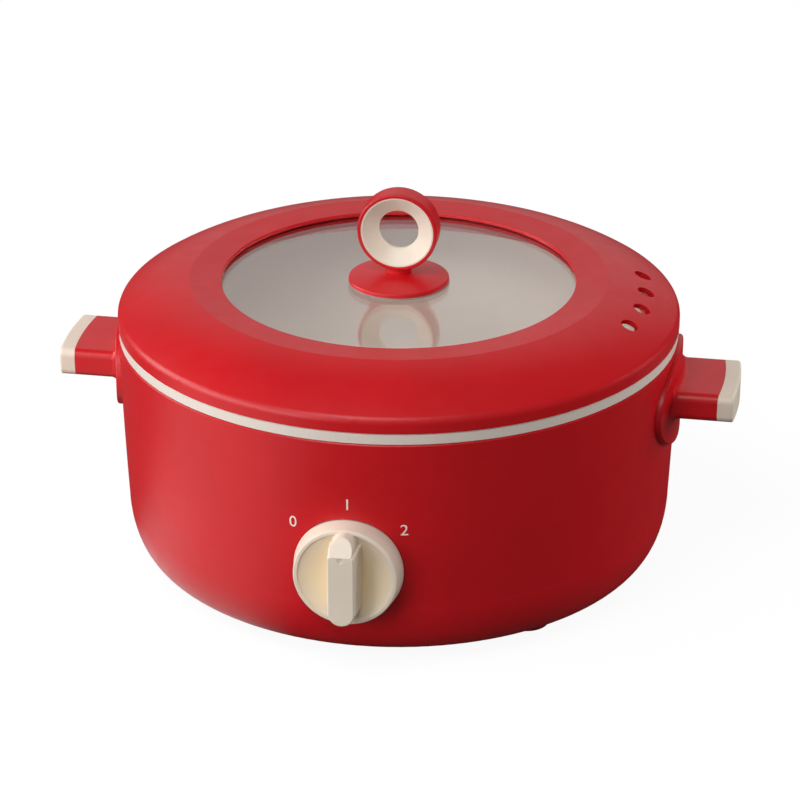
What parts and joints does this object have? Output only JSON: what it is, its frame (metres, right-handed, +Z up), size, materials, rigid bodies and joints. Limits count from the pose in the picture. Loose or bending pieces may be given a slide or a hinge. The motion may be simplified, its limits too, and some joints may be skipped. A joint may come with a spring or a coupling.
{
  "type": "electric hot pot with lid",
  "caption": "Round electric hot pot with a satin shell, front dial, oval side handles, fixed coated inner pot and a domed lift-off lid with a glass pane and a ring knob.",
  "frame": {"origin": "on the table, under the middle of the whole outline; the pot's own axis stands 8.85 mm behind it, because the dial reaches further out than the inlet", "axes": "+Z up, the dial faces -Y, the side handles point along +X and -X, the power inlet faces +Y"},
  "size_m": [0.343, 0.2982, 0.1924],
  "materials": {
    "body_red": "satin moulded plastic",
    "cream": "satin moulded plastic",
    "pot_cream": "cast, with a light stone-coloured non-stick coating",
    "cast_metal": "as cast",
    "clear_glass": "clear tempered glass",
    "grey_rubber": "matt silicone rubber",
    "black_rubber": "matt rubber",
    "dark_plastic": "fine grain",
    "base_red": "fine grain",
    "steel": "zinc plated",
    "sheath_steel": "dull annealed sheath",
    "pin_metal": "nickel plated",
    "switch_plastic": "moulded",
    "sensor_ceramic": "moulded, heat resistant"
  },
  "bodies": {
    "base": {"outer_shell": "body_red", "inner_pot": "pot_cream", "heating_plate": "cast_metal", "base_cover": "base_red", "foot_pads": "black_rubber", "base_screws": "steel", "heating_element": "sheath_steel", "heat_shield": "steel", "thermostat": "sensor_ceramic", "thermostat_strap": "steel", "thermal_fuse": "sensor_ceramic", "fuse_clip": "steel", "sensor_screws": "steel", "handle_right": "body_red", "handle_left": "body_red", "handle_cap_right": "cream", "handle_cap_left": "cream", "handle_screws": "steel", "rotary_switch": "switch_plastic", "switch_screws": "steel", "inlet_housing": "dark_plastic", "inlet_pins": "pin_metal", "inlet_screws": "steel"},
    "dial": {"control_dial": "cream", "switch_shaft": "steel"},
    "lid": {"lid_frame": "body_red", "lid_glass": "clear_glass", "glass_gasket": "grey_rubber", "glass_retainer": "base_red", "retainer_screws": "steel", "lid_knob": "body_red", "funnel_front": "cream", "funnel_rear": "cream", "knob_gasket": "grey_rubber", "under_gasket": "grey_rubber", "knob_washer": "steel", "knob_screw": "steel"}
  },
  "joints": [
    {"name": "dial_turn", "type": "hinge", "parent": "base", "child": "dial", "pos_m": [0, -0.13815, 0.055], "axis": [0, 1, 0], "range_deg": [-50, 50]},
    {"name": "lid_lift", "type": "slide", "parent": "base", "child": "lid", "axis": [0, 0, 1], "range_m": [0, 0.2]}
  ]
}
